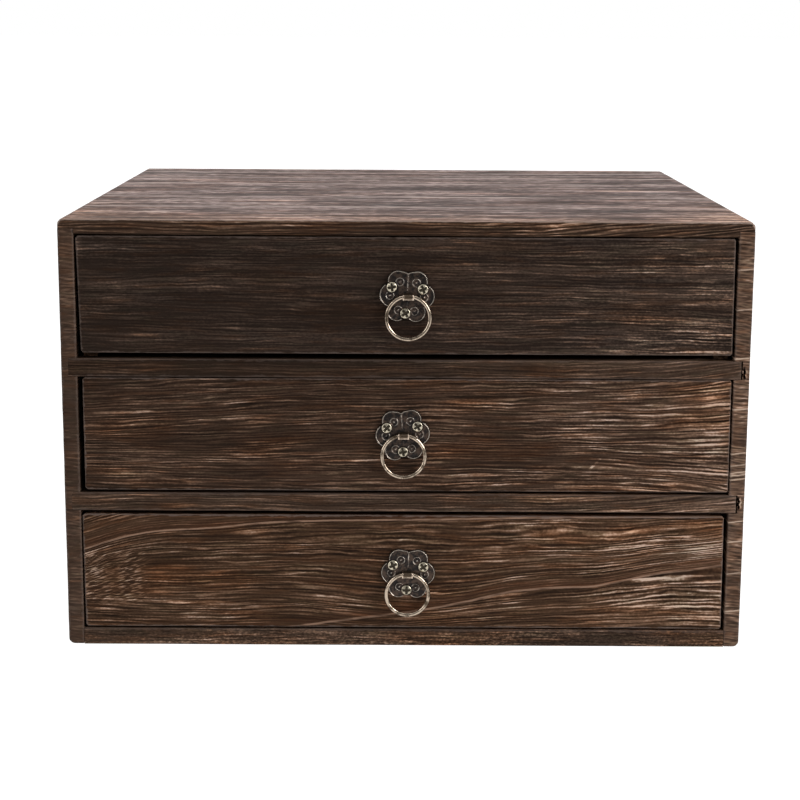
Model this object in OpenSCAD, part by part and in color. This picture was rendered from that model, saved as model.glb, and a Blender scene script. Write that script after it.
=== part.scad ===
// Desktop chest of three mini drawers in scorched, brushed wood.
//
// Origin: centre of the flat underside, front towards -Y, +X to the right as
// seen from the front, +Z up. All dimensions are in millimetres.

/* [Case] */
// Width of the case
body_w = 336; // [280:1:420]
// Depth of the case, front edges to back edges
body_d = 325; // [260:1:380]
// Thickness of the side boards
side_t = 7.8; // [7:0.1:12]
// Thickness of the top board
top_t = 7.8; // [7:0.1:12]
// Thickness of the bottom board
bottom_t = 8.4; // [7:0.1:12]
// Thickness of the two shelves between the drawers
shelf_t = 9.1; // [7:0.1:12]
// Radius of the four long outer edges
corner_r = 3; // [1:0.5:4]
// Thickness of the back panel
back_t = 4; // [3:0.5:6]
// Height by which the side boards run up into the top board
top_rabbet = 2.9; // [1.5:0.1:4]
// Depth of the housings that hold the shelf ends
dado = 4.2; // [2:0.1:5]

/* [Bays] */
// Clear height of the lower bay
lower_bay_h = 60.7; // [56:0.1:80]
// Clear height of the middle bay
middle_bay_h = 58.1; // [56:0.1:80]
// Clear height of the upper bay
upper_bay_h = 60.3; // [56:0.1:80]

/* [Drawer boxes] */
// Thickness of the drawer fronts
front_t = 9.4; // [8:0.1:14]
// Thickness of the drawer sides and backs
box_t = 7; // [6:0.1:9]
// Height of the drawer sides and backs
box_h = 50; // [40:1:52]
// Thickness of the drawer bottoms
ply_t = 3; // [2.5:0.1:4]
// Height of the groove above the lower edge of a drawer side
groove_z = 5; // [4:0.5:10]
// Depth of the groove that holds a drawer bottom
groove_d = 3.5; // [2:0.1:4]
// Room between a drawer side and the side board
side_play = 2.5; // [2.4:0.1:4]
// Distance by which the drawer fronts sit behind the front edges of the case
front_set = 0.4; // [0.2:0.1:2]
// Room behind a closed drawer
back_play = 0.6; // [0.3:0.1:5]

/* [Drawer fronts] */
// Upper front, gaps left above, left below, right above, right below, under, over
upper_gaps = [0.6, 2.0, 1.4, 1.0, 2.5, 0.4]; // [0.3:0.1:3]
// Middle front, gaps left above, left below, right above, right below, under, over
middle_gaps = [2.2, 2.3, 0.8, 0.3, 1.1, 0.3]; // [0.3:0.1:3]
// Lower front, gaps left above, left below, right above, right below, under, over
lower_gaps = [0.4, 0.8, 1.9, 1.3, 0.6, 1.8]; // [0.3:0.1:3]

/* [Pulls] */
// Outer diameter of the ring
ring_d = 23; // [20:0.5:25]
// Diameter of the ring wire
wire_d = 2; // [1.6:0.1:2.2]
// Thickness of the plate's sheet metal
plate_t = 0.8; // [0.6:0.1:1]
// Depth of the hollow behind the plate
plate_hollow = 0.6; // [0.6:0.1:0.8]
// Height of the raised lines on the plate
emboss = 0.35; // [0.2:0.05:0.4]
// Width of the hanger strap
strap_w = 5.4; // [4:0.1:6]
// Thickness of the hanger strap
strap_t = 0.5; // [0.3:0.1:0.5]
// Diameter of a screw head
screw_head_d = 5.2; // [4.6:0.1:5.4]

/* [Hidden] */
$fn = 64;
e = 0.01;

// heights of the boards, from the underside upwards
lower_z = bottom_t;
lower_shelf_z = lower_z + lower_bay_h;
middle_z = lower_shelf_z + shelf_t;
upper_shelf_z = middle_z + middle_bay_h;
upper_z = upper_shelf_z + shelf_t;
top_z = upper_z + upper_bay_h;
body_h = top_z + top_t;

front_y = -body_d / 2;
back_y = body_d / 2;
inner_x = body_w / 2 - side_t;
panel_y = back_y - back_t;
face_y = front_y + front_set;
box_back_y = panel_y - back_play;
box_x = inner_x - side_play;
rail_z = 0.2;
lip_t = 5;
crack = 0.6;

// pull: place on the drawer front, tilt of the plate, sideways place of the ring
// [x, z above the middle of the front, plate tilt, ring x from the plate centre]
upper_pull = [0.5, 0.2, 2.5, 0.6];
middle_pull = [-1.2, 0.5, -4.5, 0.4];
lower_pull = [1.8, -0.5, 1.5, -0.3];
pivot_z = -0.4;
wire_r = wire_d / 2;
ring_r = ring_d / 2 - wire_r;
pin_r = wire_r - 0.05;
bore_r = pin_r + 0.08;
loop_r = bore_r + strap_t;
pin_half = strap_w / 2 + 0.5;
pin_drop = sqrt(ring_r * ring_r - pin_half * pin_half);
plate_y = plate_t + plate_hollow;
pivot_y = plate_y + loop_r + 0.12;
leg_l = 3.5;
slot_h = 2 * strap_t + 0.2;
// lobes of the plate: [x, z, radius]
LOBES = [
    [-4.7, 7.3, 5.1], [4.7, 7.3, 5.1],
    [-7.4, 0.3, 6.1], [7.4, 0.3, 6.1],
    [-4.6, -7.6, 4.9], [4.6, -7.6, 4.9],
    [0, 6.6, 4.9], [0, -6.9, 4.6], [0, 0, 8]
];
// little pressed rings on the plate: [x, z]
CURLS = [[-3.8, 6.8], [4.2, 6.6], [-8.3, 0], [8.2, -0.3], [-4.1, -6.9], [3.9, -7.1]];
// screws: [x, z]
SCREWS = [[-7.6, 4.1], [7.5, 3.7], [-0.5, -8.4]];

brad_r = 0.6;
brad_l = 18;
brad_head_r = 1.1;
brad_head_t = 0.6;
brad_fit = 0.03;

charred = [0.24, 0.18, 0.15];
charred_front = [0.28, 0.21, 0.17];
box_wood = [0.36, 0.27, 0.21];
ply = [0.45, 0.35, 0.26];
bronze = [0.27, 0.25, 0.21];
brass = [0.62, 0.52, 0.36];
pale_brass = [0.72, 0.66, 0.44];
steel = [0.6, 0.6, 0.6];

// ---------------------------------------------------------------- helpers

// box from one corner to the other
module span(a, b) { translate(a) cube(b - a); }

// cutter that rounds a long edge running along Y; sx and sz point outwards
module edge_cut(x, z, sx, sz, r) {
    translate([x, 0, z]) difference() {
        translate([sx > 0 ? -r : -1, front_y - 1, sz > 0 ? -r : -1])
            cube([r + 1, body_d + 2, r + 1]);
        translate([-sx * r, 0, -sz * r]) rotate([90, 0, 0])
            cylinder(r = r, h = body_d + 4, center = true);
    }
}

// brad along X, its head's outer face at the origin, pointing towards +X
module brad(grow = 0) {
    rotate([0, 90, 0]) {
        cylinder(r = brad_r + grow, h = brad_l + grow);
        translate([0, 0, -grow]) cylinder(r = brad_head_r + grow, h = brad_head_t + 2 * grow);
    }
}

// ---------------------------------------------------------------- case

// places of the brads through the side boards into the bottom board
module at_bottom_brads() {
    for (s = [-1, 1], y = [-0.4, 0, 0.4])
        translate([s * body_w / 2, y * body_d, bottom_t / 2 + 0.4])
            rotate([0, 0, s > 0 ? 180 : 0]) children();
}

// places of the brads through the back panel: 3 into each long edge, 2 into each side
module at_panel_brads() {
    for (x = [-0.4, 0, 0.4], z = [(bottom_t - back_t) + 2.2, top_z + 1.9])
        translate([x * body_w, back_y, z]) rotate([0, 0, -90]) children();
    for (s = [-1, 1], z = [0.2, 0.8])
        translate([s * (inner_x + 2), back_y, z * body_h]) rotate([0, 0, -90]) children();
}

// rabbet for the back panel
module panel_space(grow = 0) {
    span([-inner_x - 4 - grow, panel_y - grow, bottom_t - back_t - grow],
         [inner_x + 4 + grow, back_y + 1, top_z + 3.8 + grow]);
}

module top_board() {
    color(charred) difference() {
        span([-body_w / 2, front_y, top_z], [body_w / 2, back_y, body_h]);
        for (s = [-1, 1])
            span([min(s * inner_x, s * (body_w / 2 + 1)), front_y - 1, top_z - 1],
                 [max(s * inner_x, s * (body_w / 2 + 1)), back_y + 1, top_z + top_rabbet]);
        for (s = [-1, 1]) edge_cut(s * body_w / 2, body_h, s, 1, corner_r);
        panel_space();
        at_panel_brads() brad(brad_fit);
    }
}

module bottom_board() {
    color(charred) difference() {
        span([-inner_x, front_y, 0], [inner_x, back_y, bottom_t]);
        panel_space();
        at_bottom_brads() brad(brad_fit);
        at_panel_brads() brad(brad_fit);
    }
}

module side_board(s) {
    color(charred) difference() {
        span([min(s * inner_x, s * body_w / 2), front_y, 0],
             [max(s * inner_x, s * body_w / 2), back_y, top_z + top_rabbet]);
        edge_cut(s * body_w / 2, 0, s, -1, corner_r);
        for (z = [lower_shelf_z, upper_shelf_z])
            span([min(s * (inner_x - 1), s * (inner_x + dado)), front_y - 1, z],
                 [max(s * (inner_x - 1), s * (inner_x + dado)), back_y + 1, z + shelf_t]);
        panel_space();
        at_bottom_brads() brad(brad_fit);
        at_panel_brads() brad(brad_fit);
    }
}

module left_side_board() { side_board(-1); }
module right_side_board() { side_board(1); }

module shelf(z) {
    color(charred) span([-inner_x - dado, front_y, z], [inner_x + dado - crack, panel_y, z + shelf_t]);
}

module upper_shelf() { shelf(upper_shelf_z); }
module lower_shelf() { shelf(lower_shelf_z); }

module back_panel() {
    color(ply) difference() {
        intersection() {
            panel_space();
            span([-body_w, 0, 0], [body_w, back_y, body_h]);
        }
        at_panel_brads() brad(brad_fit);
    }
}

module bottom_brads() { color(steel) at_bottom_brads() brad(); }
module back_panel_brads() { color(steel) at_panel_brads() brad(); }

// ---------------------------------------------------------------- drawers

// one drawer's brads: sides into the front, sides into the back
module at_drawer_brads(z) {
    for (s = [-1, 1], h = [0.25, 0.75], y = [face_y + lip_t + (front_t - lip_t) / 2, box_back_y - box_t / 2])
        translate([s * box_x, y, z + rail_z + h * box_h])
            rotate([0, 0, s > 0 ? 180 : 0]) children();
}

// the space of a drawer bottom, grown by the play in its grooves
module bottom_space(z, grow = 0) {
    span([-box_x + box_t - groove_d - grow, face_y + front_t - groove_d - grow, z + rail_z + groove_z - grow],
         [box_x - box_t + groove_d + grow, box_back_y - box_t + groove_d + grow,
          z + rail_z + groove_z + ply_t + grow]);
}

// drawer front: g = gaps left above, left below, right above, right below, under, over
module drawer_front(z, h, g, p) {
    zc = z + (g[4] + h - g[5]) / 2;
    color(charred_front) difference() {
        translate([0, face_y + front_t, 0]) rotate([90, 0, 0]) linear_extrude(height = front_t)
            polygon([[-inner_x + g[1], z + g[4]], [inner_x - g[3], z + g[4]],
                     [inner_x - g[2], z + h - g[5]], [-inner_x + g[0], z + h - g[5]]]);
        // rabbets that take the sides
        for (s = [-1, 1])
            span([min(s * (box_x - box_t), s * body_w / 2), face_y + lip_t, z - 1],
                 [max(s * (box_x - box_t), s * body_w / 2), face_y + front_t + 1, z + h]);
        bottom_space(z, 0.05);
        at_drawer_brads(z) brad(brad_fit);
        translate([p[0], face_y, zc + p[1]]) rotate([0, p[2], 0])
            for (s = SCREWS) translate([s[0], 0, s[1]]) screw_body(0.03);
    }
}

module drawer_side(z, s) {
    color(box_wood) difference() {
        span([min(s * box_x, s * (box_x - box_t)), face_y + lip_t, z + rail_z],
             [max(s * box_x, s * (box_x - box_t)), box_back_y, z + rail_z + box_h]);
        bottom_space(z, 0.05);
        at_drawer_brads(z) brad(brad_fit);
    }
}

module drawer_back(z) {
    color(box_wood) difference() {
        span([-box_x + box_t, box_back_y - box_t, z + rail_z],
             [box_x - box_t, box_back_y, z + rail_z + box_h]);
        bottom_space(z, 0.05);
        at_drawer_brads(z) brad(brad_fit);
    }
}

module drawer_bottom(z) { color(ply) bottom_space(z); }
module drawer_brads(z) { color(steel) at_drawer_brads(z) brad(); }

// ---------------------------------------------------------------- pulls
// Each piece is drawn with the wood surface at y = 0, the room side at -Y and
// the plate's centre at the origin.

// outline of the plate, drawn in X and Z and standing from y0 to -y1
module lobes(inset, y0, y1) {
    translate([0, -y0, 0]) rotate([90, 0, 0]) linear_extrude(height = y1 - y0)
        for (l = LOBES) translate([l[0], l[1]]) circle(r = l[2] - inset);
}

// screw: shank with its point in the wood, pan head in front of the plate
module screw_body(grow = 0) {
    rotate([-90, 0, 0]) translate([0, 0, -plate_y - 0.1]) cylinder(r = 1 + grow, h = plate_y + 0.1 + 6 + grow);
    translate([0, 6 + grow, 0]) rotate([-90, 0, 0]) cylinder(r1 = 1 + grow, r2 = 0.2, h = 1.2);
}

module screw() {
    difference() {
        union() {
            screw_body();
            // pan head: a flat disc under a shallow dome
            translate([0, -plate_y, 0]) rotate([90, 0, 0]) cylinder(r = screw_head_d / 2, h = 0.5);
            translate([0, -plate_y - 0.5, 0]) rotate([90, 0, 0]) intersection() {
                translate([0, 0, 0.8 - 4.6]) sphere(r = 4.6, $fn = 96);
                cylinder(r = screw_head_d / 2, h = 0.8);
            }
        }
        // cross recess
        for (a = [0, 90]) translate([0, -plate_y - 0.85, 0]) rotate([0, a + 20, 0])
            cube([2.8, 0.9, 0.7], center = true);
    }
}

module at_pull(z, h, g, p) { translate([p[0], face_y, z + (g[4] + h - g[5]) / 2 + p[1]]) children(); }

module pull_plate(z, h, g, p) {
    color(bronze) at_pull(z, h, g, p) difference() {
        rotate([0, p[2], 0]) difference() {
            union() {
                lobes(0, 0, plate_y);
                // raised rim
                difference() {
                    lobes(0.05, plate_y - e, plate_y + emboss);
                    lobes(0.75, plate_y - 0.1, plate_y + 1);
                }
                // seams above and below the hanger
                span([-0.3, -plate_y - emboss, 2.2], [0.3, -plate_y + e, 11.4]);
                span([-0.3, -plate_y - emboss, -5.4], [0.3, -plate_y + e, -2.8]);
                // little rings, each with a dot at its centre
                for (c = CURLS) translate([c[0], -plate_y, c[1]]) rotate([90, 0, 0]) {
                    difference() {
                        translate([0, 0, -e]) cylinder(r = 2.2, h = emboss + e, $fn = 32);
                        translate([0, 0, -2 * e]) cylinder(r = 1.6, h = 1, $fn = 32);
                    }
                    translate([0, 0, -e]) cylinder(r = 0.6, h = emboss + e, $fn = 32);
                }
            }
            // hollow at the back
            lobes(1, -1, plate_hollow);
            // flat seats and holes of the screws
            for (s = SCREWS) translate([s[0], 0, s[1]]) {
                translate([0, -plate_y, 0]) rotate([90, 0, 0]) cylinder(r = screw_head_d / 2 + 0.1, h = 2);
                rotate([90, 0, 0]) cylinder(r = 1.1, h = 6, center = true);
            }
        }
        // seat and slot of the hanger
        span([p[3] - strap_w / 2 - 0.2, -plate_y - 2, pivot_z - loop_r - 0.2],
             [p[3] + strap_w / 2 + 0.2, -plate_y, pivot_z + loop_r + 0.2]);
        span([p[3] - strap_w / 2 - 0.1, -plate_y - 1, pivot_z - slot_h / 2],
             [p[3] + strap_w / 2 + 0.1, 1, pivot_z + slot_h / 2]);
    }
}

module pull_hanger(z, h, g, p) {
    color(brass) at_pull(z, h, g, p) translate([p[3], 0, pivot_z]) difference() {
        union() {
            translate([0, -pivot_y, 0]) rotate([0, 90, 0]) cylinder(r = loop_r, h = strap_w, center = true);
            // neck through the slot, legs bent up and down behind the plate
            span([-strap_w / 2, -pivot_y + bore_r, -strap_t], [strap_w / 2, -0.05, strap_t]);
            span([-strap_w / 2, -0.05 - strap_t, -leg_l], [strap_w / 2, -0.05, leg_l]);
        }
        translate([0, -pivot_y, 0]) rotate([0, 90, 0]) cylinder(r = bore_r, h = strap_w + 2, center = true);
    }
}

module pull_screws(z, h, g, p) {
    color(pale_brass) at_pull(z, h, g, p) rotate([0, p[2], 0])
        for (s = SCREWS) translate([s[0], 0, s[1]]) screw();
}

// ring: a wire hoop with a straight pin across its top that turns in the hanger
module pull_ring(z, h, g, p) {
    color(brass) at_pull(z, h, g, p) translate([p[3], -pivot_y, pivot_z]) {
        difference() {
            translate([0, 0, -pin_drop]) rotate([90, 0, 0]) rotate_extrude($fn = 96)
                translate([ring_r, 0]) circle(r = wire_r, $fn = 32);
            span([-pin_half, -3, -5], [pin_half, 3, 5]);
        }
        rotate([0, 90, 0]) cylinder(r = pin_r, h = 2 * pin_half + 0.3, center = true);
    }
}

// ---------------------------------------------------------------- the three drawers

module upper_drawer_front() { drawer_front(upper_z, upper_bay_h, upper_gaps, upper_pull); }
module upper_drawer_left_side() { drawer_side(upper_z, -1); }
module upper_drawer_right_side() { drawer_side(upper_z, 1); }
module upper_drawer_back() { drawer_back(upper_z); }
module upper_drawer_bottom() { drawer_bottom(upper_z); }
module upper_drawer_brads() { drawer_brads(upper_z); }
module upper_pull_plate() { pull_plate(upper_z, upper_bay_h, upper_gaps, upper_pull); }
module upper_pull_hanger() { pull_hanger(upper_z, upper_bay_h, upper_gaps, upper_pull); }
module upper_pull_screws() { pull_screws(upper_z, upper_bay_h, upper_gaps, upper_pull); }
module upper_pull_ring() { pull_ring(upper_z, upper_bay_h, upper_gaps, upper_pull); }

module middle_drawer_front() { drawer_front(middle_z, middle_bay_h, middle_gaps, middle_pull); }
module middle_drawer_left_side() { drawer_side(middle_z, -1); }
module middle_drawer_right_side() { drawer_side(middle_z, 1); }
module middle_drawer_back() { drawer_back(middle_z); }
module middle_drawer_bottom() { drawer_bottom(middle_z); }
module middle_drawer_brads() { drawer_brads(middle_z); }
module middle_pull_plate() { pull_plate(middle_z, middle_bay_h, middle_gaps, middle_pull); }
module middle_pull_hanger() { pull_hanger(middle_z, middle_bay_h, middle_gaps, middle_pull); }
module middle_pull_screws() { pull_screws(middle_z, middle_bay_h, middle_gaps, middle_pull); }
module middle_pull_ring() { pull_ring(middle_z, middle_bay_h, middle_gaps, middle_pull); }

module lower_drawer_front() { drawer_front(lower_z, lower_bay_h, lower_gaps, lower_pull); }
module lower_drawer_left_side() { drawer_side(lower_z, -1); }
module lower_drawer_right_side() { drawer_side(lower_z, 1); }
module lower_drawer_back() { drawer_back(lower_z); }
module lower_drawer_bottom() { drawer_bottom(lower_z); }
module lower_drawer_brads() { drawer_brads(lower_z); }
module lower_pull_plate() { pull_plate(lower_z, lower_bay_h, lower_gaps, lower_pull); }
module lower_pull_hanger() { pull_hanger(lower_z, lower_bay_h, lower_gaps, lower_pull); }
module lower_pull_screws() { pull_screws(lower_z, lower_bay_h, lower_gaps, lower_pull); }
module lower_pull_ring() { pull_ring(lower_z, lower_bay_h, lower_gaps, lower_pull); }

top_board();
bottom_board();
left_side_board();
right_side_board();
upper_shelf();
lower_shelf();
back_panel();
bottom_brads();
back_panel_brads();
upper_drawer_front();
upper_drawer_left_side();
upper_drawer_right_side();
upper_drawer_back();
upper_drawer_bottom();
upper_drawer_brads();
upper_pull_plate();
upper_pull_hanger();
upper_pull_screws();
upper_pull_ring();
middle_drawer_front();
middle_drawer_left_side();
middle_drawer_right_side();
middle_drawer_back();
middle_drawer_bottom();
middle_drawer_brads();
middle_pull_plate();
middle_pull_hanger();
middle_pull_screws();
middle_pull_ring();
lower_drawer_front();
lower_drawer_left_side();
lower_drawer_right_side();
lower_drawer_back();
lower_drawer_bottom();
lower_drawer_brads();
lower_pull_plate();
lower_pull_hanger();
lower_pull_screws();
lower_pull_ring();
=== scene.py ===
import math

import bpy
import numpy as np
from mathutils import Matrix


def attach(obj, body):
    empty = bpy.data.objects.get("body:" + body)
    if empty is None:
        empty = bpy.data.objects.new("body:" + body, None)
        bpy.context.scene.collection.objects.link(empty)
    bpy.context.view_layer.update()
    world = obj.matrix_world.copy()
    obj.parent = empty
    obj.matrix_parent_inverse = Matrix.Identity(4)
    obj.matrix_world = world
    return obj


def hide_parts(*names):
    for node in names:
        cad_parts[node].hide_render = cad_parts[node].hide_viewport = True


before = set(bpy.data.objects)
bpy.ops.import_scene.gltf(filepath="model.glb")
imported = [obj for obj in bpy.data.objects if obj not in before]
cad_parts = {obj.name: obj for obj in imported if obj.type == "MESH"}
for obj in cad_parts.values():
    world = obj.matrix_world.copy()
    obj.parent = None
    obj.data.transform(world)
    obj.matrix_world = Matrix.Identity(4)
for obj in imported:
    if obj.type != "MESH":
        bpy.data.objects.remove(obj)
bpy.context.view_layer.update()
MM = 0.001

# ------------------------------------------------------------------ sizes, mm
W, D, H = 336.0, 325.0, 213.5
FRONT, BACK = -162.5, 162.5
FACE = -162.1  # the drawer fronts' outer side
INNER = 160.2
PANEL = 158.5
TOP_Z = 205.7
BAYS = {"upper": (145.4, 60.3), "middle": (78.2, 58.1), "lower": (8.4, 60.7)}
SHELVES = {"upper": 136.3, "lower": 69.1}
SHELF_T = 9.1
# left above, left below, right above, right below, under, over
GAPS = {
    "upper": (0.6, 2.0, 1.4, 1.0, 2.5, 0.4),
    "middle": (2.2, 2.3, 0.8, 0.3, 1.1, 0.3),
    "lower": (0.4, 0.8, 1.9, 1.3, 0.6, 1.8),
}
# x, z above the middle of the front, tilt, ring's x from the plate's centre
PULLS = {
    "upper": (0.5, 0.2, 2.5, 0.6),
    "middle": (-1.2, 0.5, -4.5, 0.4),
    "lower": (1.8, -0.5, 1.5, -0.3),
}
BOX_X, BOX_T, BOX_BACK, BOX_H, RAIL = 157.7, 7.0, 157.9, 50.0, 0.2


# ------------------------------------------------------------------ numbers
def noise(p, seed):
    """smooth gradient noise at the points p, about -1 to 1"""
    rng = np.random.RandomState(seed)
    perm = rng.permutation(256)
    perm = np.concatenate([perm, perm, perm])
    grad = rng.normal(size=(256, 3))
    grad /= np.linalg.norm(grad, axis=1)[:, None]
    base = np.floor(p).astype(np.int64)
    f = p - base
    w = f * f * f * (f * (f * 6 - 15) + 10)
    out = np.zeros(len(p))
    for dx in (0, 1):
        for dy in (0, 1):
            for dz in (0, 1):
                i = perm[(base[:, 0] + dx) & 255] + ((base[:, 1] + dy) & 255)
                g = grad[perm[perm[i] + ((base[:, 2] + dz) & 255)]]
                dot = g[:, 0] * (f[:, 0] - dx) + g[:, 1] * (f[:, 1] - dy) + g[:, 2] * (f[:, 2] - dz)
                wt = 1.0
                for k, d in enumerate((dx, dy, dz)):
                    wt = wt * (w[:, k] if d else 1 - w[:, k])
                out += wt * dot
    return out * 1.6


def layers(p, seed, n=3, rough=0.55):
    total, a, s = 0, 1.0, 0.0
    for k in range(n):
        total = total + a * noise(p * 2.03**k + 17.3 * k, seed + k)
        s += a
        a *= rough
    return total / s * 1.4


def step(x, a, b):
    t = np.clip((x - a) / (b - a), 0, 1)
    return t * t * (3 - 2 * t)


def hump(x, at, width):
    return np.exp(-(((x - at) / width) ** 2))


def curve(points):
    """a smooth line through a few places"""
    xs, ys = np.array(points, float).T
    m = np.gradient(ys, xs)

    def f(x):
        i = np.clip(np.searchsorted(xs, x) - 1, 0, len(xs) - 2)
        h = xs[i + 1] - xs[i]
        t = np.clip((x - xs[i]) / h, 0, 1)
        return (
            (2 * t**3 - 3 * t**2 + 1) * ys[i]
            + (t**3 - 2 * t**2 + t) * h * m[i]
            + (3 * t**2 - 2 * t**3) * ys[i + 1]
            + (t**3 - t**2) * h * m[i + 1]
        )

    return f


# ------------------------------------------------------------------ meshes
def new_mesh(name, verts, faces, mat, sharp=38, data=None):
    me = bpy.data.meshes.new(name)
    me.from_pydata((np.asarray(verts) * MM).tolist(), [], [list(map(int, f)) for f in faces])
    me.polygons.foreach_set("use_smooth", [True] * len(me.polygons))
    me.update()
    me.set_sharp_from_angle(angle=math.radians(sharp))
    for k, v in (data or {}).items():
        v = np.asarray(v, np.float32)
        kind = "FLOAT_VECTOR" if v.ndim == 2 else "FLOAT"
        a = me.attributes.new(k, kind, "POINT")
        a.data.foreach_set("vector" if v.ndim == 2 else "value", v.ravel())
    me.materials.append(mat)
    ob = bpy.data.objects.new(name, me)
    bpy.context.scene.collection.objects.link(ob)
    return ob


def places(lo, hi, gap, ease_lo, ease_hi, marks):
    """where the mesh lines run between two outer faces"""
    a = [lo + k * ease_lo for k in ((0, 0.42, 0.73, 1) if ease_lo else (0,))]
    a += [hi - k * ease_hi for k in ((0, 0.42, 0.73, 1) if ease_hi else (0,))]
    a += [m for m in marks if lo + 1e-6 < m < hi - 1e-6]
    n = max(1, int(round((hi - lo) / gap)))
    free = [v for v in np.linspace(lo, hi, n + 1)[1:-1] if min(abs(v - f) for f in a) > 0.4 * gap]
    return np.array(sorted({round(float(v), 5) for v in a + free}))


def skin(X, Y, Z, full):
    """the outer faces of a block of cells, with shared corners"""
    pad = np.pad(full, 1)
    ny, nz = len(Y), len(Z)
    quads = []
    for ax in range(3):
        n = pad.shape[ax]
        a = np.take(pad, range(0, n - 1), ax)
        b = np.take(pad, range(1, n), ax)
        for flip, where in ((False, a & ~b), (True, ~a & b)):
            i = np.argwhere(where)
            others = [k for k in range(3) if k != ax]
            i[:, others[0]] -= 1
            i[:, others[1]] -= 1
            c = [i.copy() for _ in range(4)]
            c[1][:, others[0]] += 1
            c[2][:, others[0]] += 1
            c[2][:, others[1]] += 1
            c[3][:, others[1]] += 1
            ids = [(q[:, 0] * ny + q[:, 1]) * nz + q[:, 2] for q in c]
            turn = flip != (ax == 1)
            quads.append(np.stack(ids[::-1] if turn else ids, 1))
    quads = np.concatenate(quads)
    used, faces = np.unique(quads, return_inverse=True)
    faces = faces.reshape(quads.shape)
    verts = np.stack([X[used // (ny * nz)], Y[used // nz % ny], Z[used % nz]], 1)
    return verts, faces


def corner_normals(verts, faces):
    a, b, c, d = (verts[faces[:, k]] for k in range(4))
    n = np.cross(c - a, d - b)
    out = np.zeros_like(verts)
    for k in range(4):
        np.add.at(out, faces[:, k], n)
    length = np.linalg.norm(out, axis=1)
    return out / np.where(length > 0, length, 1)[:, None]


def along(axis, seed):
    """grain that runs along one axis, with a slow wander"""
    order = {"x": (0, 2, 1), "y": (1, 2, 0), "z": (2, 0, 1)}[axis]

    def flow(p):
        g = p[:, order].copy()
        slow = g / (95.0, 24.0, 24.0) + seed * 3.7
        g[:, 1] += 1.5 * noise(slow, seed + 50)
        g[:, 2] += 1.5 * noise(slow + 40.3, seed + 51)
        return g

    return flow


def board(
    name,
    node,
    body,
    mat,
    lo,
    hi,
    gap,
    seed,
    ease=0.7,
    keep="",
    cuts=(),
    big=(),
    axis="x",
    flow=None,
    reshape=None,
    amp=0.14,
    wave=0.0,
    tone_and_light=None,
    veins=None,
    extra=None,
    ripple=None,
    marks=((), (), ()),
    guard=None,
):
    """A board of solid wood: eased and worn edges, brushed relief along the grain.

    lo and hi are its corners, cuts its dadoes, rabbets and grooves, big the larger round corners seen
    from the front, as (side of x, side of z, radius)."""
    lo, hi = np.array(lo, float), np.array(hi, float)
    el = np.array([0.0 if "-" + a in keep else ease for a in "xyz"])
    eh = np.array([0.0 if "+" + a in keep else ease for a in "xyz"])
    lines = []
    for k in range(3):
        m = [c[s][k] for c in cuts for s in (0, 1)] + list(marks[k])
        for sx, sz, r in big:
            s = (sx, 0, sz)[k]
            if s:
                edge = hi[k] if s > 0 else lo[k]
                m += [edge - s * r * q for q in (0.4, 0.55, 0.7, 0.85, 1.0)]
        lines.append(places(lo[k], hi[k], gap[k], el[k], eh[k], m))
    X, Y, Z = lines
    mid = [(v[1:] + v[:-1]) / 2 for v in lines]
    full = np.ones([len(m) for m in mid], bool)
    for a, b in cuts:
        pick = [(mid[k] > a[k]) & (mid[k] < b[k]) for k in range(3)]
        full[np.ix_(*pick)] = False
    verts, faces = skin(X, Y, Z, full)
    # distance from the nearest bare edge
    far = np.concatenate([verts - lo, hi - verts], 1)
    for k, a in enumerate("xyz"):
        if "-" + a in keep:
            far[:, k] = 99
        if "+" + a in keep:
            far[:, 3 + k] = 99
    edge = np.minimum(np.sort(far, 1)[:, 1], 60)
    flat = verts.copy()
    q = np.clip(verts, lo + el, hi - eh)
    d = verts - q
    size = np.linalg.norm(d, axis=1)
    verts = q + d * (np.abs(d).max(1) / np.where(size > 0, size, 1))[:, None]
    for sx, sz, r in big:
        c = (
            hi[0] - r if sx > 0 else lo[0] + r,
            hi[2] - r if sz > 0 else lo[2] + r,
        )
        dx, dz = (verts[:, 0] - c[0]) * sx, (verts[:, 2] - c[1]) * sz
        inside = (dx > 0) & (dz > 0)
        s = np.where(inside, np.maximum(dx, dz) / np.where(inside, np.hypot(dx, dz), 1), 1)
        verts[:, 0] = np.where(inside, c[0] + (verts[:, 0] - c[0]) * s, verts[:, 0])
        verts[:, 2] = np.where(inside, c[1] + (verts[:, 2] - c[1]) * s, verts[:, 2])
    if reshape:
        verts = reshape(verts)
        flat = reshape(flat)
    g = (flow or along(axis, seed))(flat)
    ridge = layers(g / (30.0, 1.9, 1.9), seed, 2)
    broad = layers(g / (150.0, 7.5, 7.5), seed + 9, 2)
    relief = np.clip(0.5 + 0.42 * ridge + 0.22 * broad, 0, 1)
    n = corner_normals(verts, faces)
    sink = amp * (1 - relief)
    if wave:
        near = 0.35 + 0.65 * np.exp(-edge / 2.5)
        sink += wave * near * np.clip(0.5 + 0.6 * layers(flat / 13.0, seed + 21, 2), 0, 1)
    if extra is not None:
        sink = sink + extra(flat)
    verts = verts - n * sink[:, None]
    if reshape is None:
        verts = np.clip(verts, lo, hi)
    t = tone_and_light(flat) if tone_and_light else np.zeros(len(flat))
    v = veins(flat) if veins else np.full((len(flat), 3), 99.0)
    g = g + np.array([seed * 37.0, seed * 11.0, seed * 23.0])
    if guard:
        edge = edge + guard(flat)
    data = {"grain": g, "veins": v, "surf": np.stack([edge, relief, t], 1)}
    if ripple:
        data["ripple"] = ripple(flat)
    ob = new_mesh(name, verts, faces, mat, data=data)
    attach(ob, body)
    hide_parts(node)
    return ob


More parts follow.
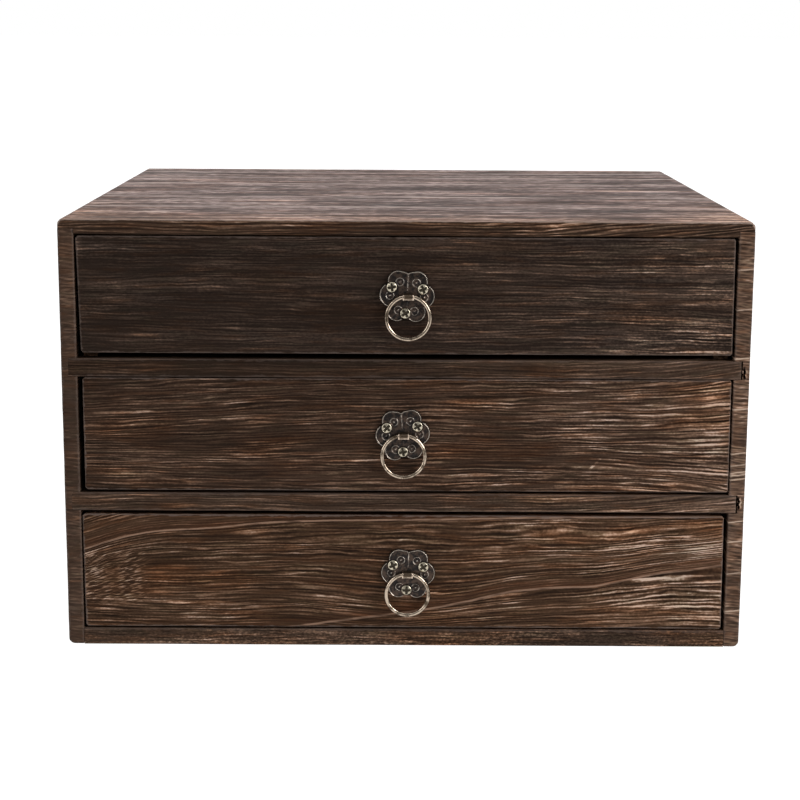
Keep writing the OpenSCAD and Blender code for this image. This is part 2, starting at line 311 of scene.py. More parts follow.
# ------------------------------------------------------------------ materials
class Graph:
    def __init__(self, name):
        self.mat = bpy.data.materials.new(name)
        self.mat.use_nodes = True
        self.tree = self.mat.node_tree
        self.tree.nodes.clear()

    def node(self, kind, **props):
        n = self.tree.nodes.new(kind)
        for k, v in props.items():
            setattr(n, k, v)
        return n

    def put(self, socket, value):
        if isinstance(value, bpy.types.NodeSocket):
            self.tree.links.new(value, socket)
        else:
            socket.default_value = value

    def m(self, op, a, b=None, c=None, clamp=False):
        n = self.node("ShaderNodeMath", operation=op, use_clamp=clamp)
        for k, v in enumerate((a, b, c)):
            if v is not None:
                self.put(n.inputs[k], v)
        return n.outputs[0]

    def v(self, op, a, b=None):
        n = self.node("ShaderNodeVectorMath", operation=op)
        self.put(n.inputs[0], a)
        if b is not None:
            self.put(n.inputs[1], b)
        return n.outputs["Value"] if op in ("LENGTH", "DISTANCE", "DOT_PRODUCT") else n.outputs[0]

    def attr(self, name):
        n = self.node("ShaderNodeAttribute", attribute_name=name)
        return n

    def split(self, vec):
        n = self.node("ShaderNodeSeparateXYZ")
        self.put(n.inputs[0], vec)
        return n.outputs

    def noise(self, vec, size=(1, 1, 1), detail=2.0, rough=0.5, at=0.0, twist=0.0):
        p = self.v("MULTIPLY", vec, tuple(1.0 / s for s in size))
        if at:
            p = self.v("ADD", p, (at, at * 1.7, at * 0.6))
        n = self.node("ShaderNodeTexNoise")
        self.put(n.inputs["Vector"], p)
        n.inputs["Scale"].default_value = 1.0
        n.inputs["Detail"].default_value = detail
        n.inputs["Roughness"].default_value = rough
        n.inputs["Distortion"].default_value = twist
        return n.outputs[0]

    def spread(self, x, amount):
        """noise about its middle, stretched"""
        return self.m("MULTIPLY", self.m("SUBTRACT", x, 0.5), amount)

    def between(self, x, a, b, lo=0.0, hi=1.0):
        n = self.node("ShaderNodeMapRange", interpolation_type="SMOOTHSTEP", clamp=True)
        for k, v in enumerate((x, a, b, lo, hi)):
            self.put(n.inputs[k], v)
        return n.outputs[0]

    def add(self, *xs):
        out = xs[0]
        for x in xs[1:]:
            out = self.m("ADD", out, x)
        return out

    def ramp(self, fac, stops):
        n = self.node("ShaderNodeValToRGB")
        r = n.color_ramp
        r.interpolation = "LINEAR"
        while len(r.elements) < len(stops):
            r.elements.new(0.5)
        for e, (at, col) in zip(r.elements, stops):
            e.position = at
            e.color = (*col, 1.0)
        self.put(n.inputs[0], fac)
        return n.outputs[0]

    def mix(self, fac, a, b, mode="MIX"):
        n = self.node("ShaderNodeMix", data_type="RGBA", blend_type=mode)
        n.clamp_factor = True
        self.put(n.inputs[0], fac)
        for k, v in ((6, a), (7, b)):
            self.put(n.inputs[k], (*v, 1.0) if isinstance(v, tuple) else v)
        return n.outputs[2]

    def bump(self, height, strength, distance, normal=None):
        n = self.node("ShaderNodeBump")
        n.inputs["Strength"].default_value = strength
        n.inputs["Distance"].default_value = distance
        self.put(n.inputs["Height"], height)
        if normal is not None:
            self.put(n.inputs["Normal"], normal)
        return n.outputs[0]

    def finish(self, color, rough, normal=None, metal=None, **fixed):
        s = self.node("ShaderNodeBsdfPrincipled")
        self.put(s.inputs["Base Color"], color)
        self.put(s.inputs["Roughness"], rough)
        if metal is not None:
            self.put(s.inputs["Metallic"], metal)
        if normal is not None:
            self.put(s.inputs["Normal"], normal)
        for k, v in fixed.items():
            s.inputs[k.replace("_", " ")].default_value = v
        out = self.node("ShaderNodeOutputMaterial")
        self.tree.links.new(s.outputs[0], out.inputs[0])
        return self.mat


CHAR = (0.0075, 0.0042, 0.0026)
DARK = (0.0205, 0.0113, 0.007)
BROWN = (0.052, 0.0292, 0.0182)
TAN = (0.165, 0.098, 0.064)
PALE = (0.47, 0.335, 0.262)


def wood(
    name,
    bias=0.0,
    contrast=1.0,
    tone_and_light=0.5,
    streak=(72.0, 0.78),
    fibre=(15.0, 0.7),
    tint=(1.0, 1.0, 1.0),
    fleck=0.7,
    ribs=0.3,
    swing=1.5,
    wear=1.2,
    warm=0.5,
    cool=0.4,
    edge=0.6,
    vein=0.0,
    lines=0.0,
    line_color=(0.42, 0.31, 0.235),
    bump=0.5,
    bands=0.3,
    across=1.0,
    gloss=0.04,
    chatter=False,
    gray=0.0,
    sheen=0.0,
    wear_and_highlight_color=(0.125, 0.093, 0.079),
    ragged=3.2,
    speckle=0.6,
    sway=1.5,
    outer=0.0,
):
    """scorched and brushed wood"""
    g = Graph(name)
    grain = g.attr("grain").outputs["Vector"]
    surf = g.split(g.attr("surf").outputs["Vector"])
    near, relief, lit = surf[0], surf[1], surf[2]
    dashes = 0.0
    if chatter:
        # the planer's short slanted strokes
        part = g.split(grain)
        rip = g.attr("ripple").outputs["Fac"]
        contrast = g.m("MULTIPLY", contrast, g.m("SUBTRACT", 1.0, g.m("MULTIPLY", rip, 0.75)))
        join = g.node("ShaderNodeCombineXYZ")
        g.put(join.inputs[0], part[0])
        g.put(join.inputs[1], g.m("SUBTRACT", part[1], g.m("MULTIPLY", part[0], 0.24)))
        g.put(join.inputs[2], part[2])
        cut = g.noise(join.outputs[0], (4.4, 0.66, 0.66), 1.0, 0.5, at=4.4)
        dashes = g.m("MULTIPLY", rip, g.add(g.between(cut, 0.5, 0.62, 0.0, 0.42), g.between(cut, 0.49, 0.36, 0.0, -0.13)))
    if outer:
        # the broad outer face shows its figure more than the cut edge does
        broad = g.split(g.attr("veins").outputs["Vector"])[0]
        contrast = g.m("MULTIPLY", contrast, g.m("ADD", 1.0, g.m("MULTIPLY", broad, outer)))
        bands = g.m("MULTIPLY", bands, g.m("ADD", 1.0, g.m("MULTIPLY", broad, 2.0)))
    sl, sh = streak
    fl, fh = fibre
    k = across
    # small waves that all the lines share
    w1 = g.spread(g.noise(grain, (20, 7, 7 * k), 1.5, 0.5, at=41.0), sway)
    w2 = g.spread(g.noise(grain, (5, 2.5, 2.5 * k), 1, 0.5, at=47.0), 0.35)
    part = g.split(grain)
    join = g.node("ShaderNodeCombineXYZ")
    g.put(join.inputs[0], part[0])
    if gray:
        # the broad upper face has its own long, nearly straight figure, and a lighter, greyer colour that is a painted
        # reflection of the bright sky
        up = g.between(lit, 0.18, 0.32)
        g.put(join.inputs[1], g.add(part[1], g.m("MULTIPLY", g.add(w1, w2), g.m("SUBTRACT", 1.0, up))))
        g.put(join.inputs[2], part[2])
        long = g.node("ShaderNodeCombineXYZ")
        g.put(long.inputs[0], part[0])
        g.put(long.inputs[1], part[1])
        g.put(long.inputs[2], g.add(part[2], g.spread(g.noise(grain, (150, 30, 34), 2, 0.5, at=55.0), 9.0), g.m("MULTIPLY", w1, 0.3)))
        long = long.outputs[0]
    else:
        g.put(join.inputs[1], g.add(part[1], w1, w2))
        g.put(join.inputs[2], part[2])
    lined = join.outputs[0]
    n1 = g.noise(lined, (sl, sh, sh * k), 1.6, 0.5)
    n2 = g.noise(lined, (sl * 0.3, sh * 1.25, sh * 1.25 * k), 1.0, 0.5, at=5.3)
    nm = g.noise(lined, (fl, fh * 2.0, fh * 2.0 * k), 2, 0.55, at=23.9)
    n3 = g.noise(grain, (170, 7, 7 * k), 2, 0.5, at=2.1)
    n4 = g.noise(grain, (40, 9, 9 * k), 2, 0.5, at=9.7)
    n5 = g.noise(grain, (70, 15, 15), 2, 0.5, at=31.1)
    n6 = g.noise(lined, (6.5, 0.62, 0.62 * k), 1.5, 0.5, at=17.7)
    n7 = g.noise(lined, (22, 2.6, 2.6 * k), 1, 0.5, at=63.0)
    n8 = g.noise(lined, (1.5, 0.8, 0.8 * k), 1.5, 0.6, at=91.0)
    # the close, nearly even ribs that brushing leaves
    drift = g.spread(g.noise(grain, (55, 4.0, 4.0 * k), 2, 0.55, at=71.0), 5.0)
    bent = g.split(lined)
    rib = g.m("SINE", g.m("MULTIPLY", g.add(bent[1], g.m("MULTIPLY", bent[2], 0.7 / k), drift), 6.2832 / (sh * 2.05)))
    fade = g.between(nm, 0.3, 0.7, 0.5, 1.5)
    # painted light: where lit is higher the streaks get more contrast, standing in for raking light from the right
    amount = g.m("MULTIPLY", g.between(n4, 0.32, 0.66, 0.7, 1.3), g.m("MULTIPLY", g.add(1.0, g.m("MULTIPLY", g.m("MAXIMUM", lit, 0.0), swing)), contrast))
    fine = g.add(
        g.m("MULTIPLY", g.add(g.spread(n1, 1.9), g.spread(n2, 0.9), g.m("MULTIPLY", rib, ribs)), fade),
        g.spread(nm, 0.55),
        g.spread(n6, fleck),
        g.spread(n8, speckle),
        g.spread(relief, 0.25),
    )
    calm = 1.0
    extra = 0.0
    if vein:
        vv = g.split(g.attr("veins").outputs["Vector"])
        wob = g.spread(g.noise(grain, (9, 3, 3), 2, 0.5, at=3.3), 0.9)
        for i, width in ((0, 9.0), (1, 5.0)):
            d = g.add(vv[i], wob)
            above = g.m("MULTIPLY", g.between(d, -0.2, 0.5), g.between(d, width * 0.6, width * 1.35, 1, 0))
            calm = g.m("MULTIPLY", calm, g.m("SUBTRACT", 1.0, g.m("MULTIPLY", above, 0.5)))
            below = g.m("MULTIPLY", g.between(d, -2.6, -0.4), g.between(d, -0.3, 0.2, 1, 0))
            extra = g.add(extra, g.m("MULTIPLY", above, -0.03), g.m("MULTIPLY", below, -0.06))
    amount = g.m("MULTIPLY", amount, calm)
    # lit also lifts the level: painted light from the right
    level = g.add(
        0.42 + bias,
        g.m("MULTIPLY", fine, g.m("MULTIPLY", amount, 0.62)),
        g.spread(n3, g.m("MULTIPLY", bands, 2.0)),
        g.spread(n4, 0.25),
        g.m("MULTIPLY", lit, tone_and_light),
        extra,
        dashes,
    )
    level = g.m("MINIMUM", g.m("MAXIMUM", level, 0.0), 1.0)
    col = g.ramp(level, [(0.0, CHAR), (0.3, DARK), (0.52, BROWN), (0.76, TAN), (1.0, PALE)])
    hot = g.between(n5, 0.52, 0.7, 0.0, warm)
    plain = g.m("SUBTRACT", 1.0, rip) if chatter else 1.0
    hot = g.m("MULTIPLY", hot, plain)
    cold = g.between(n5, 0.46, 0.3, 0.0, cool)
    col = g.mix(hot, col, g.mix(1.0, col, (1.22, 0.96, 0.72), "MULTIPLY"))
    col = g.mix(cold, col, g.mix(1.0, col, (0.88, 0.98, 1.12), "MULTIPLY"))
    col = g.mix(g.m("MULTIPLY", g.between(n7, 0.54, 0.68, 0.0, 0.5), plain), col, g.mix(1.0, col, (1.18, 0.96, 0.76), "MULTIPLY"))
    col = g.mix(g.between(n7, 0.46, 0.32, 0.0, 0.5), col, g.mix(1.0, col, (0.93, 1.05, 1.0), "MULTIPLY"))
    if tint != (1.0, 1.0, 1.0):
        col = g.mix(g.between(level, 0.45, 0.8, 1.0, 0.1), col, g.mix(1.0, col, tint, "MULTIPLY"))
    if gray:
        fine_up = g.noise(long, (60, 3.0, 1.1), 2, 0.55, at=15.0)
        level_up = g.add(
            0.5,
            g.spread(fine_up, 1.5),
            g.spread(g.noise(long, (80, 20.0, 12.0), 1.5, 0.5, at=37.0), 1.25),
            g.spread(g.noise(long, (300, 20.0, 9.0), 1.5, 0.5, at=29.0), 0.75),
            g.spread(g.noise(long, (30, 8.0, 3.4), 1.5, 0.5, at=73.0), 1.4),
            g.spread(g.noise(long, (5.5, 4.0, 2.2), 1.5, 0.6, at=51.0), 1.45),
            g.spread(g.noise(grain, (70, 40, 40), 2, 0.5, at=81.0), 0.5),
        )
        # painted reflection: this ramp is lighter and greyer than the wood's own colour
        col_up_painted_reflection = g.ramp(level_up, [(0.0, (0.03, 0.019, 0.0158)), (0.3, (0.074, 0.0485, 0.042)), (0.55, (0.128, 0.087, 0.077)), (0.8, (0.225, 0.162, 0.145)), (1.0, (0.44, 0.345, 0.315))])
        col_up_painted_reflection = g.mix(hot, col_up_painted_reflection, g.mix(1.0, col_up_painted_reflection, (1.18, 0.98, 0.86), "MULTIPLY"))
        tanned = g.split(g.attr("veins").outputs["Vector"])[0]
        col_up_painted_reflection = g.mix(tanned, col_up_painted_reflection, g.mix(1.0, col_up_painted_reflection, (1.16, 0.98, 0.8), "MULTIPLY"))
        col = g.mix(up, col, col_up_painted_reflection)
    if vein:
        for i, w in ((0, 1.0), (1, 0.95)):
            d = g.m("ABSOLUTE", g.add(vv[i], g.m("MULTIPLY", wob, 0.6)))
            thin = g.between(d, 0.2, 0.62 + 0.2 * i, vein * w, 0.0)
            thin = g.m("MULTIPLY", thin, g.between(nm, 0.35, 0.55, 0.3, 1.0))
            col = g.mix(thin, col, (0.22, 0.135, 0.092))
            red = g.m("MULTIPLY", g.between(vv[i], 0.0, 0.8), g.between(vv[i], 2.0, 6.0, 0.3, 0.0))
            col = g.mix(red, col, g.mix(1.0, col, (1.22, 0.9, 0.8), "MULTIPLY"))
    if lines:
        vv = g.split(g.attr("veins").outputs["Vector"])
        d = g.m("ABSOLUTE", g.add(vv[2], g.spread(n6, 0.6)))
        thin = g.m("MULTIPLY", g.between(d, 0.1, 0.5, lines, 0.0), g.between(n4, 0.3, 0.55, 0.45, 1.0))
        col = g.mix(thin, col, line_color)
    rub = g.noise(grain, (5, 2.2, 2.2), 3, 0.6, at=13.0)
    # pale worn edges; on the top's front arris this is partly a painted highlight
    worn = g.between(g.add(near, g.spread(rub, ragged)), wear * 0.25, wear, edge, 0.0)
    col = g.mix(worn, col, wear_and_highlight_color)
    height = g.add(g.m("MULTIPLY", fine_up if gray else n1, 0.9), g.m("MULTIPLY", n2, 0.7), g.m("MULTIPLY", n6, 0.3), g.m("MULTIPLY", worn, -0.15))
    normal = g.bump(height, bump, 0.0006)
    rough = g.between(level, 0.1, 0.9, 0.5, 0.68)
    fixed = {"Specular_IOR_Level": gloss}
    if sheen:
        fixed.update(Sheen_Weight=sheen, Sheen_Roughness=0.45, Sheen_Tint=(0.92, 0.84, 0.86, 1))
    return g.finish(col, rough, normal, **fixed)


def metal(name, dark, bright, height=None, rough=(0.5, 0.3), patina=0.6, scale=3.0, bump=0.25, edges=(0.3, 0.8), mottle=None):
    """aged brass or bronze: bright where rubbing wore it, dark in the hollows; on the hanger and screws the height
    attribute also holds painted highlights
    """
    g = Graph(name)
    pos = g.v("MULTIPLY", g.node("ShaderNodeTexCoord").outputs["Object"], (1000.0, 1000.0, 1000.0))
    a = g.noise(pos, (scale, scale, scale), 3, 0.6)
    b = g.noise(pos, (0.5, 0.5, 0.5), 2, 0.5, at=7.0)
    rub = g.add(g.spread(a, patina * 2), g.spread(b, 0.5))
    if height:
        rub = g.add(rub, g.attr(height).outputs["Fac"])
    else:
        rub = g.add(rub, 0.6)
    w = g.between(rub, edges[0], edges[1])
    if mottle:
        patch = g.noise(pos, (2.6, 2.6, 2.6), 3, 0.65, at=19.0)
        dark = g.mix(g.between(patch, 0.42, 0.62), dark, mottle)
    col = g.mix(w, dark, bright)
    normal = g.bump(g.add(g.m("MULTIPLY", b, 0.6), g.m("MULTIPLY", a, 1.0)), bump, 0.00015)
    return g.finish(col, g.between(w, 0, 1, rough[0], rough[1]), normal, metal=1.0)


def ply(name):
    g = Graph(name)
    pos = g.v("MULTIPLY", g.node("ShaderNodeTexCoord").outputs["Object"], (1000.0, 1000.0, 1000.0))
    n1 = g.noise(pos, (70, 2.0, 2.0), 3, 0.6)
    n2 = g.noise(pos, (22, 0.7, 0.7), 2, 0.55, at=3.0)
    n3 = g.noise(pos, (120, 30, 30), 2, 0.5, at=8.0)
    level = g.add(0.45, g.spread(n1, 1.7), g.spread(n2, 1.4), g.spread(n3, 0.9))
    col = g.ramp(level, [(0.0, (0.018, 0.0105, 0.0072)), (0.5, (0.05, 0.031, 0.021)), (1.0, (0.125, 0.084, 0.058))])
    normal = g.bump(g.add(n1, g.m("MULTIPLY", n2, 0.6)), 0.3, 0.0003)
    return g.finish(col, g.between(n1, 0.3, 0.7, 0.55, 0.72), normal, Specular_IOR_Level=0.06)


# its pale front arris is partly wear and partly a painted highlight
M_TOP = wood("scorched_top", bias=-0.01, contrast=0.3, streak=(30, 0.8), fibre=(8, 0.8), fleck=0.8, speckle=0.9, ribs=0.8, warm=0.7, cool=0.2, edge=0.8, wear=1.2, bands=0.15, gloss=0.05, across=8.0, gray=1.0, lines=0.8, line_color=(0.38, 0.3, 0.27), wear_and_highlight_color=(0.27, 0.2, 0.165), ragged=1.5)
M_RAIL = wood("scorched_rail", bias=0.0, contrast=0.4, swing=2.0, edge=0.25, ribs=0.35, speckle=0.9, tint=(0.98, 1.04, 1.1))
M_BASE = wood("scorched_base", bias=0.0, contrast=0.42, swing=2.0, streak=(26, 0.8), fleck=1.1, edge=0.25, ribs=0.15, speckle=2.2, tint=(0.98, 1.03, 1.08))
M_SIDE = wood("scorched_side", bias=0.05, contrast=0.3, streak=(95, 0.95), fibre=(12, 0.9), warm=0.25, edge=0.3, lines=0.9, bands=0.15, across=6.0, speckle=1.2, outer=0.35, tint=(0.98, 1.03, 1.12))
M_LEFT = wood("scorched_left_side", bias=0.05, contrast=0.2, streak=(95, 0.95), fibre=(12, 0.9), warm=0.25, edge=0.3, bands=0.12, across=6.0, speckle=2.0, outer=1.1, tint=(0.98, 1.03, 1.12))
M_UPPER = wood("scorched_front_upper", bias=-0.07, contrast=0.4, swing=2.5, streak=(60, 0.78), fibre=(13, 0.7), ribs=0.3, warm=0.4, cool=0.4, edge=0.5, wear=1.1, bands=0.25, speckle=1.3, tint=(0.97, 1.1, 1.28))
M_MIDDLE = wood("scorched_front_middle", bias=0.005, contrast=0.52, swing=2.3, streak=(72, 0.82), ribs=0.4, warm=0.6, cool=0.25, edge=0.6, wear=1.0, bands=0.15, speckle=0.8, tint=(1.0, 1.0, 1.02))
M_LOWER = wood("scorched_front_lower", bias=0.03, contrast=0.57, swing=1.7, streak=(72, 0.8), ribs=0.4, warm=0.6, cool=0.25, edge=0.7, wear=1.1, vein=0.9, chatter=True, bands=0.15, speckle=0.8, tint=(1.06, 0.985, 0.87))
M_BOX = wood("box_wood", bias=0.1, contrast=0.45, streak=(35, 1.8), fibre=(12, 0.9), fleck=0.4, warm=0.3, cool=0.2, edge=0.2, bump=0.3)
M_PLY = ply("stained_ply")
M_PLATE = metal("aged_bronze", (0.026, 0.023, 0.022), (0.42, 0.365, 0.31), height="rub_and_highlight", rough=(0.46, 0.32), patina=0.6, scale=1.8, bump=0.5, mottle=(0.078, 0.055, 0.043))
M_RING = metal("antique_brass", (0.09, 0.065, 0.044), (0.48, 0.388, 0.3), rough=(0.3, 0.15), patina=0.9, scale=4.0, bump=0.15, edges=(0.2, 0.75))
M_HANGER = metal("antique_brass_strap", (0.10, 0.072, 0.05), (0.60, 0.48, 0.38), height="rub_and_highlight", rough=(0.42, 0.24), patina=0.5, scale=2.0)
M_SCREW = metal("pale_brass", (0.05, 0.042, 0.03), (0.56, 0.5, 0.385), height="rub_and_highlight", rough=(0.5, 0.3), patina=0.5, scale=1.2)
M_STEEL = metal("brad_steel", (0.16, 0.15, 0.14), (0.5, 0.49, 0.47), rough=(0.5, 0.35), patina=0.8, scale=1.5)


# ------------------------------------------------------------------ case
def rising(p, x0, span, rise, front=FRONT, depth=4.0):
    """grain lines that climb to the right near the front edge"""
    return rise * np.clip((p[:, 0] - x0) / span, 0, None) ** 2 * np.exp(-(p[:, 1] - front) / depth)


def flow_rail(seed, x0, span, rise):
    base = along("x", seed)

    def flow(p):
        g = base(p)
        g[:, 1] -= rising(p, x0, span, rise, depth=8.0)
        return g

    return flow


# painted light: the value rises from left to right, standing in for the lamp on the right; most spots are patches of
# the board's own tone
def tone_and_light_from_right(left, right, spots=(), start=-20.0):
    def tone_and_light(p):
        t = left + (right - left) * step(p[:, 0], start, 165)
        for x, z, wx, wz, s in spots:
            t = t + s * hump(p[:, 0], x, wx) * hump(p[:, 2], z, wz)
        return t

    return tone_and_light


def top_lines(p):
    y = p[:, 1] + 3.0 * noise(p / 40.0, 91) + 1.2 * noise(p / 9.0, 92)
    r = np.array([-400.0, -96.0, -38.0, 48.0, 93.0, 131.0, 400.0])
    i = np.clip(np.searchsorted(r, y) - 1, 0, len(r) - 2)
    d = np.minimum(y - r[i], r[i + 1] - y) * np.where(i % 2 == 0, 1, -1) / 8.0
    d = np.where((p[:, 1] < FRONT + 1) | (np.abs(p[:, 0]) > W / 2 - 1.5), 99.0, d)
    # warmer near the front edge and at its two ends
    tanned = step(y, -118, -156) * (0.65 + 0.35 * noise(p / 30.0, 93)) + 0.7 * hump(np.abs(p[:, 0]), 172, 40) * step(y, -20, -120)
    return np.stack([np.clip(tanned, 0, 1), np.full(len(p), 99.0), d], 1)


board(
    "top_board_wood", "top_board", "case", M_TOP,
    (-W / 2, FRONT, TOP_Z), (W / 2, BACK, H), (5.0, 0.95, 1.3), 3,
    ease=1.1,
    cuts=[
        ((-W / 2 - 1, FRONT - 1, TOP_Z - 1), (-INNER, BACK + 1, TOP_Z + 2.9)),
        ((INNER, FRONT - 1, TOP_Z - 1), (W / 2 + 1, BACK + 1, TOP_Z + 2.9)),
        ((-INNER - 4, PANEL, TOP_Z - 1), (INNER + 4, BACK + 1, TOP_Z + 3.8)),
    ],
    big=[(-1, 1, 3.0), (1, 1, 3.0)],
    flow=flow_rail(3, 0, 120, 5.0),
    # 0.36 on the upper face switches on its painted reflection colour; the front edge is lighter towards its top, and
    # towards the right as painted light
    tone_and_light=lambda p: 0.36 * step(p[:, 2], 212.6, 213.3) + (0.1 * step(p[:, 2], 208.0, 210.5) + 0.07 * step(p[:, 0], -120, 165) + 0.02) * step(p[:, 2], 213.2, 212.4),
    veins=top_lines,
    # the pale edge colour stays on the upper arris of the front edge: wear plus a painted highlight
    guard=lambda p: 20.0 * step(p[:, 2], 210.0, 207.0),
    amp=0.12, wave=0.12,
)
board(
    "bottom_board_wood", "bottom_board", "case", M_BASE,
    (-INNER, FRONT, 0), (INNER, BACK, 8.4), (5.0, 1.6, 1.0), 5,
    ease=0.6, keep="-x+x-z",
    cuts=[((-INNER - 1, PANEL, 4.4), (INNER + 1, BACK + 1, 9.0))],
    tone_and_light=tone_and_light_from_right(0.19, 0.27),
)
for side, s in (("left", -1), ("right", 1)):
    a, b = sorted((s * INNER, s * W / 2))
    cuts = [
        ((min(s * (INNER - 1), s * (INNER + 4.2)), FRONT - 1, z), (max(s * (INNER - 1), s * (INNER + 4.2)), BACK + 1, z + SHELF_T))
        for z in SHELVES.values()
    ]
    cuts.append(((min(s * (INNER - 1), s * (INNER + 4)), PANEL, 4.4), (max(s * (INNER - 1), s * (INNER + 4)), BACK + 1, 209.0)))
    rings = [18.7, 37.9, 54.4, 64.7, 86.6, 88.6, 90.1, 93.7, 99.7, 121.8, 147.0, 171.0, 190.5] if s > 0 else []

    def ring_lines(p, rings=rings, s=s):
        z = p[:, 2] - 0.1 * (p[:, 0] - 164 * s) + 0.5 * noise(p / 30.0, 77)
        r = np.array([-25.0, *rings, 250.0])
        i = np.clip(np.searchsorted(r, z) - 1, 0, len(r) - 2)
        d0, d1 = z - r[i], r[i + 1] - z
        d = np.minimum(d0, d1) * np.where(i % 2 == 0, 1, -1)
        d = np.where(p[:, 1] > BACK - 1, 99.0, d)
        broad = step(p[:, 1], FRONT + 0.3, FRONT + 2.5)
        return np.stack([broad, np.full(len(p), 99.0), d], 1)

    splits = [(165.2, 139.4, 2.1), (164.9, 74.2, 2.3)] if s > 0 else []

    def split_depth(p, splits=splits):
        """two small ragged splits beside the ends of the shelves"""
        d = np.zeros(len(p))
        for cx, cz, half in splits:
            x = p[:, 0] - cx - 0.25 * np.sin((p[:, 2] - cz) * 2.1)
            wide = 0.38 * np.sqrt(np.clip(1 - ((p[:, 2] - cz) / half) ** 2, 0, 1)) + 0.02
            d += 1.8 * step(np.abs(x), wide + 0.3, wide) * (np.abs(p[:, 2] - cz) < half) * (p[:, 1] < FRONT + 0.9)
        return d

    def side_tone_and_shade(p, splits=splits, s=s):
        # painted light and shade: the right board is set lighter, with livelier streaks, as lit from the right; the
        # left board is darker at mid height, lighter near the top, and has a painted shade along its outer rounded edge
        t = np.full(len(p), 0.28) if s > 0 else 0.09 - 0.11 * hump(p[:, 2], 105, 35) + 0.06 * hump(p[:, 2], 190, 15) - 0.12 * hump(p[:, 0], -168, 1.6)
        for cx, cz, half in splits:
            x = np.abs(p[:, 0] - cx - 0.25 * np.sin((p[:, 2] - cz) * 2.1))
            near = step(np.abs(p[:, 2] - cz), half + 1.2, half) * (p[:, 1] < FRONT + 0.9)
            # painted shade inside each split, with pale splinters along its lips
            t = t + near * (0.6 * hump(x, 1.0, 0.45) - 1.4 * step(x, 0.7, 0.3))
        return t

    fine = []
    for cx, cz, half in splits:
        fine += [cx + v for v in (-1.3, -0.85, -0.5, -0.2, 0.1, 0.4, 0.75, 1.15)]
    steps = [cz + v for cx, cz, half in splits for v in np.arange(-half - 0.8, half + 1.0, 0.4)]
    board(
        f"{side}_side_board_wood", f"{side}_side_board", "case", M_SIDE if s > 0 else M_LEFT,
        (a, FRONT, 0), (b, BACK, TOP_Z + 2.9), (1.3, 4.5, 0.95), 7 + s,
        ease=0.6, keep="+z", cuts=cuts, big=[(s, -1, 3.0)], axis="y",
        veins=ring_lines, tone_and_light=side_tone_and_shade, extra=split_depth if splits else None,
        marks=(fine, (), steps),
        amp=0.08, wave=0.14,
    )
for which, z in SHELVES.items():
    board(
        f"{which}_shelf_wood", f"{which}_shelf", "case", M_RAIL,
        (-INNER - 4.2, FRONT, z), (INNER + 4.2 - 0.6, PANEL, z + SHELF_T), (4.5, 1.6, 0.95), 11 if which == "upper" else 13,
        ease=0.5, keep="-x",
        flow=flow_rail(11 if which == "upper" else 13, 60, 90, 5.0),
        tone_and_light=tone_and_light_from_right(-0.12, 0.1) if which == "upper" else tone_and_light_from_right(0.08, 0.27),
    )


# ------------------------------------------------------------------ drawers
NICK = (91.2, 91.2)
vein_left = curve([(-175, 44.5), (-157.3, 49.6), (-145.7, 53.5), (-130.8, 57.2), (-118.3, 58.8), (-98.5, 60.0), (-69.7, 63.0), (-49.9, 63.9), (-2.3, 64.8), (60, 66.0), (170, 67.5)])
vein_right = curve([(-175, -6), (-80, 6), (-30, 13), (8.9, 18.4), (36.9, 24.2), (47.8, 27.0), (73.7, 30.2), (95.7, 31.3), (109.1, 34.0), (125.9, 37.9), (142.3, 39.8), (161.1, 42.5), (175, 44)])


def flow_upper(p):
    g = along("x", 21)(p)
    g[:, 1] += 0.006 * p[:, 0] * hump(p[:, 2], 160, 20)
    return g


def flow_middle(p):
    g = along("x", 23)(p)
    x, z = p[:, 0], p[:, 2]
    fan = np.clip((x - 85) / 75, 0, None) ** 2
    g[:, 1] -= 0.035 * np.clip(20 - x, 0, None) * step(z, 84, 112) * -1 * 0.9
    g[:, 1] -= 5.0 * fan * (z - 104) / 26.0
    return g


def flow_lower(p):
    g = along("x", 25)(p)
    x, z = p[:, 0], p[:, 2]
    left, right = vein_left(x), vein_right(x)
    g[:, 1] -= (left - 60) * np.where(z > left, 1.0, np.exp(-(((z - left) / 11.0) ** 2))) * 0.9
    pull = np.where(z < right, np.exp(-np.abs(z - right) / 17.0), np.exp(-(((z - right) / 17.0) ** 2)))
    g[:, 1] -= (right - 26) * pull * 0.8 * step(x, -70, 30)
    return g


def ripple_lower(p):
    x, z = p[:, 0], p[:, 2]
    return step(x, -124, -134) * step(z, 50, 46) * step(z, 18, 26) * (0.8 + 0.4 * noise(p / (6.0, 6.0, 5.0), 88)) * (1 - 0.7 * hump(x, -145.5, 2.5))


def nicked(tone_and_light):
    """a small pale scratch, deepest at its lower end"""
    def f(p):
        x, z = p[:, 0] - NICK[0], p[:, 2] - NICK[1]
        a = np.clip((x + z) / 9.6, 0, 1)
        off = np.hypot(x - 4.8 * a, z - 4.8 * a)
        return tone_and_light(p) + (0.5 - 0.25 * a) * step(off, 0.75, 0.25)

    return f


def veins_lower(p):
    x, z = p[:, 0], p[:, 2]
    return np.stack([z - vein_left(x), z - vein_right(x), np.full(len(p), 99.0)], 1)


